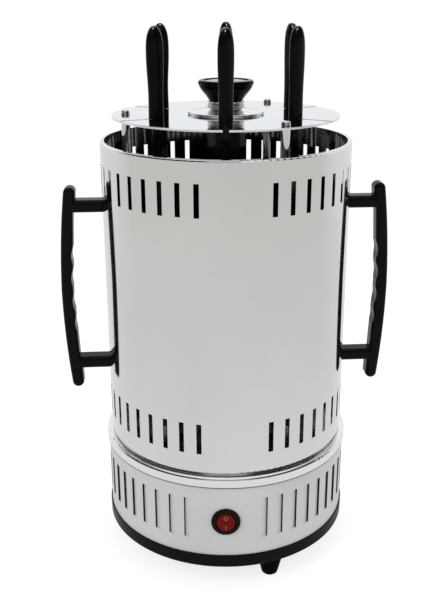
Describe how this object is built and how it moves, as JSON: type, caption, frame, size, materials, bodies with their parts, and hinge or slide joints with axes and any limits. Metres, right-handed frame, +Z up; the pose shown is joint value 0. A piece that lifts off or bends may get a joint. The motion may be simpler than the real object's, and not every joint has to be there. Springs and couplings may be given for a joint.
{
  "type": "electric skewer grill",
  "caption": "Upright electric skewer grill: skewers turn on geared spindles round a central heater, in a lift-off polished casing with side handles, on a louvred base with a rocker switch.",
  "frame": {"origin": "on the table, under the middle of the part's bounding box, which is the axis of the round base in X and 0.6 mm from it in Y", "axes": "+Z up along the axis of the base and casing, front with the rocker switch towards -Y, handles towards +X and -X"},
  "size_m": [0.27, 0.2107, 0.4301],
  "materials": {
    "black_moulding": "semi-gloss black moulding",
    "black_rubber": "matt black rubber",
    "zinc_screw": "bright zinc-plated steel",
    "grey_paint": "light grey paint on sheet steel",
    "polished_deck": "polished stainless steel pressing",
    "plate_steel": "plain steel",
    "motor_can": "grey painted can",
    "bush_bronze": "sintered bronze",
    "ceramic": "unglazed off-white ceramic",
    "resistance_wire": "drawn resistance wire",
    "quartz": "clear fused quartz",
    "polished_post": "polished steel rod",
    "polished_nut": "polished steel",
    "top_disc_steel": "polished stainless steel sheet",
    "knob_chrome": "chrome plated",
    "knob_black": "glossy black heat-proof moulding",
    "knob_grey": "glossy grey inset disc",
    "switch_black": "semi-gloss black moulding",
    "gland_black": "matt black moulding",
    "gear_nylon": "plain off-white gear nylon",
    "spindle_steel": "turned and hobbed steel",
    "cup_steel": "pressed stainless steel",
    "blade_steel": "ground stainless steel strip",
    "grip_black": "glossy black heat-proof moulding",
    "polished_casing": "mirror-polished stainless steel sheet",
    "handle_black": "satin black heat-proof moulding",
    "rocker_red": "glossy dark red moulding"
  },
  "bodies": {
    "base": {"bottom_tray": "black_moulding", "feet": "black_rubber", "tie_screws": "zinc_screw", "spacer_sleeves": "zinc_screw", "base_skirt": "grey_paint", "base_deck": "polished_deck", "gear_plate": "plate_steel", "motor": "motor_can", "motor_screws": "zinc_screw", "spindle_bushes": "bush_bronze", "heater_base": "ceramic", "ceramic_core": "ceramic", "heater_coil": "resistance_wire", "quartz_tube": "quartz", "heater_cap": "ceramic", "posts": "polished_post", "post_nuts": "polished_nut", "lower_nuts": "zinc_screw", "top_disc": "top_disc_steel", "knob_flange": "knob_chrome", "knob_neck": "knob_chrome", "knob_washer": "knob_chrome", "knob": "knob_black", "knob_insert": "knob_grey", "knob_stud": "zinc_screw", "switch_body": "switch_black", "cord_gland": "gland_black"},
    "drive": {"drive_gear": "gear_nylon", "motor_shaft": "plate_steel"},
    "spindle_1": {"spindle_1": "spindle_steel"},
    "spindle_2": {"spindle_2": "spindle_steel"},
    "spindle_3": {"spindle_3": "spindle_steel"},
    "spindle_4": {"spindle_4": "spindle_steel"},
    "spindle_5": {"spindle_5": "spindle_steel"},
    "spindle_6": {"spindle_6": "spindle_steel"},
    "cup_1": {"drip_cup_1": "cup_steel"},
    "cup_2": {"drip_cup_2": "cup_steel"},
    "cup_3": {"drip_cup_3": "cup_steel"},
    "cup_4": {"drip_cup_4": "cup_steel"},
    "cup_5": {"drip_cup_5": "cup_steel"},
    "cup_6": {"drip_cup_6": "cup_steel"},
    "skewer_1": {"skewer_blade_1": "blade_steel", "skewer_handle_1": "grip_black"},
    "skewer_2": {"skewer_blade_2": "blade_steel", "skewer_handle_2": "grip_black"},
    "skewer_3": {"skewer_blade_3": "blade_steel", "skewer_handle_3": "grip_black"},
    "skewer_4": {"skewer_blade_4": "blade_steel", "skewer_handle_4": "grip_black"},
    "skewer_5": {"skewer_blade_5": "blade_steel", "skewer_handle_5": "grip_black"},
    "skewer_6": {"skewer_blade_6": "blade_steel", "skewer_handle_6": "grip_black"},
    "casing": {"casing": "polished_casing", "handle_left": "handle_black", "handle_right": "handle_black", "handle_screws": "zinc_screw"},
    "rocker": {"rocker": "rocker_red"}
  },
  "joints": [
    {"name": "drive_spin", "type": "hinge", "parent": "base", "child": "drive", "pos_m": [0, 0, 0.0834], "axis": [0, 0, 1], "continuous": true},
    {"name": "spindle_spin_1", "type": "hinge", "parent": "base", "child": "spindle_1", "pos_m": [0, -0.06, 0.0834], "axis": [0, 0, 1], "continuous": true},
    {"name": "spindle_spin_2", "type": "hinge", "parent": "base", "child": "spindle_2", "pos_m": [0.05196, -0.03, 0.0834], "axis": [0, 0, 1], "continuous": true},
    {"name": "spindle_spin_3", "type": "hinge", "parent": "base", "child": "spindle_3", "pos_m": [0.05196, 0.03, 0.0834], "axis": [0, 0, 1], "continuous": true},
    {"name": "spindle_spin_4", "type": "hinge", "parent": "base", "child": "spindle_4", "pos_m": [0, 0.06, 0.0834], "axis": [0, 0, 1], "continuous": true},
    {"name": "spindle_spin_5", "type": "hinge", "parent": "base", "child": "spindle_5", "pos_m": [-0.05196, 0.03, 0.0834], "axis": [0, 0, 1], "continuous": true},
    {"name": "spindle_spin_6", "type": "hinge", "parent": "base", "child": "spindle_6", "pos_m": [-0.05196, -0.03, 0.0834], "axis": [0, 0, 1], "continuous": true},
    {"name": "cup_lift_1", "type": "slide", "parent": "spindle_1", "child": "cup_1", "axis": [0, 0, 1], "range_m": [0, 0.02]},
    {"name": "cup_lift_2", "type": "slide", "parent": "spindle_2", "child": "cup_2", "axis": [0, 0, 1], "range_m": [0, 0.02]},
    {"name": "cup_lift_3", "type": "slide", "parent": "spindle_3", "child": "cup_3", "axis": [0, 0, 1], "range_m": [0, 0.02]},
    {"name": "cup_lift_4", "type": "slide", "parent": "spindle_4", "child": "cup_4", "axis": [0, 0, 1], "range_m": [0, 0.02]},
    {"name": "cup_lift_5", "type": "slide", "parent": "spindle_5", "child": "cup_5", "axis": [0, 0, 1], "range_m": [0, 0.02]},
    {"name": "cup_lift_6", "type": "slide", "parent": "spindle_6", "child": "cup_6", "axis": [0, 0, 1], "range_m": [0, 0.02]},
    {"name": "skewer_lift_1", "type": "slide", "parent": "spindle_1", "child": "skewer_1", "axis": [0, 0, 1], "range_m": [0, 0.27]},
    {"name": "skewer_lift_2", "type": "slide", "parent": "spindle_2", "child": "skewer_2", "axis": [0, 0, 1], "range_m": [0, 0.27]},
    {"name": "skewer_lift_3", "type": "slide", "parent": "spindle_3", "child": "skewer_3", "axis": [0, 0, 1], "range_m": [0, 0.27]},
    {"name": "skewer_lift_4", "type": "slide", "parent": "spindle_4", "child": "skewer_4", "axis": [0, 0, 1], "range_m": [0, 0.27]},
    {"name": "skewer_lift_5", "type": "slide", "parent": "spindle_5", "child": "skewer_5", "axis": [0, 0, 1], "range_m": [0, 0.27]},
    {"name": "skewer_lift_6", "type": "slide", "parent": "spindle_6", "child": "skewer_6", "axis": [0, 0, 1], "range_m": [0, 0.27]},
    {"name": "casing_lift", "type": "slide", "parent": "base", "child": "casing", "axis": [0, 0, 1], "range_m": [0, 0.335]},
    {"name": "rocker_tilt", "type": "hinge", "parent": "base", "child": "rocker", "pos_m": [0, -0.1017, 0.0611], "axis": [1, 0, 0], "range_deg": [0, 16]}
  ],
  "couplings": [
    {"joint": "spindle_spin_1", "follows": "drive_spin", "ratio": -1.5},
    {"joint": "spindle_spin_2", "follows": "drive_spin", "ratio": -1.5},
    {"joint": "spindle_spin_3", "follows": "drive_spin", "ratio": -1.5},
    {"joint": "spindle_spin_4", "follows": "drive_spin", "ratio": -1.5},
    {"joint": "spindle_spin_5", "follows": "drive_spin", "ratio": -1.5},
    {"joint": "spindle_spin_6", "follows": "drive_spin", "ratio": -1.5}
  ]
}
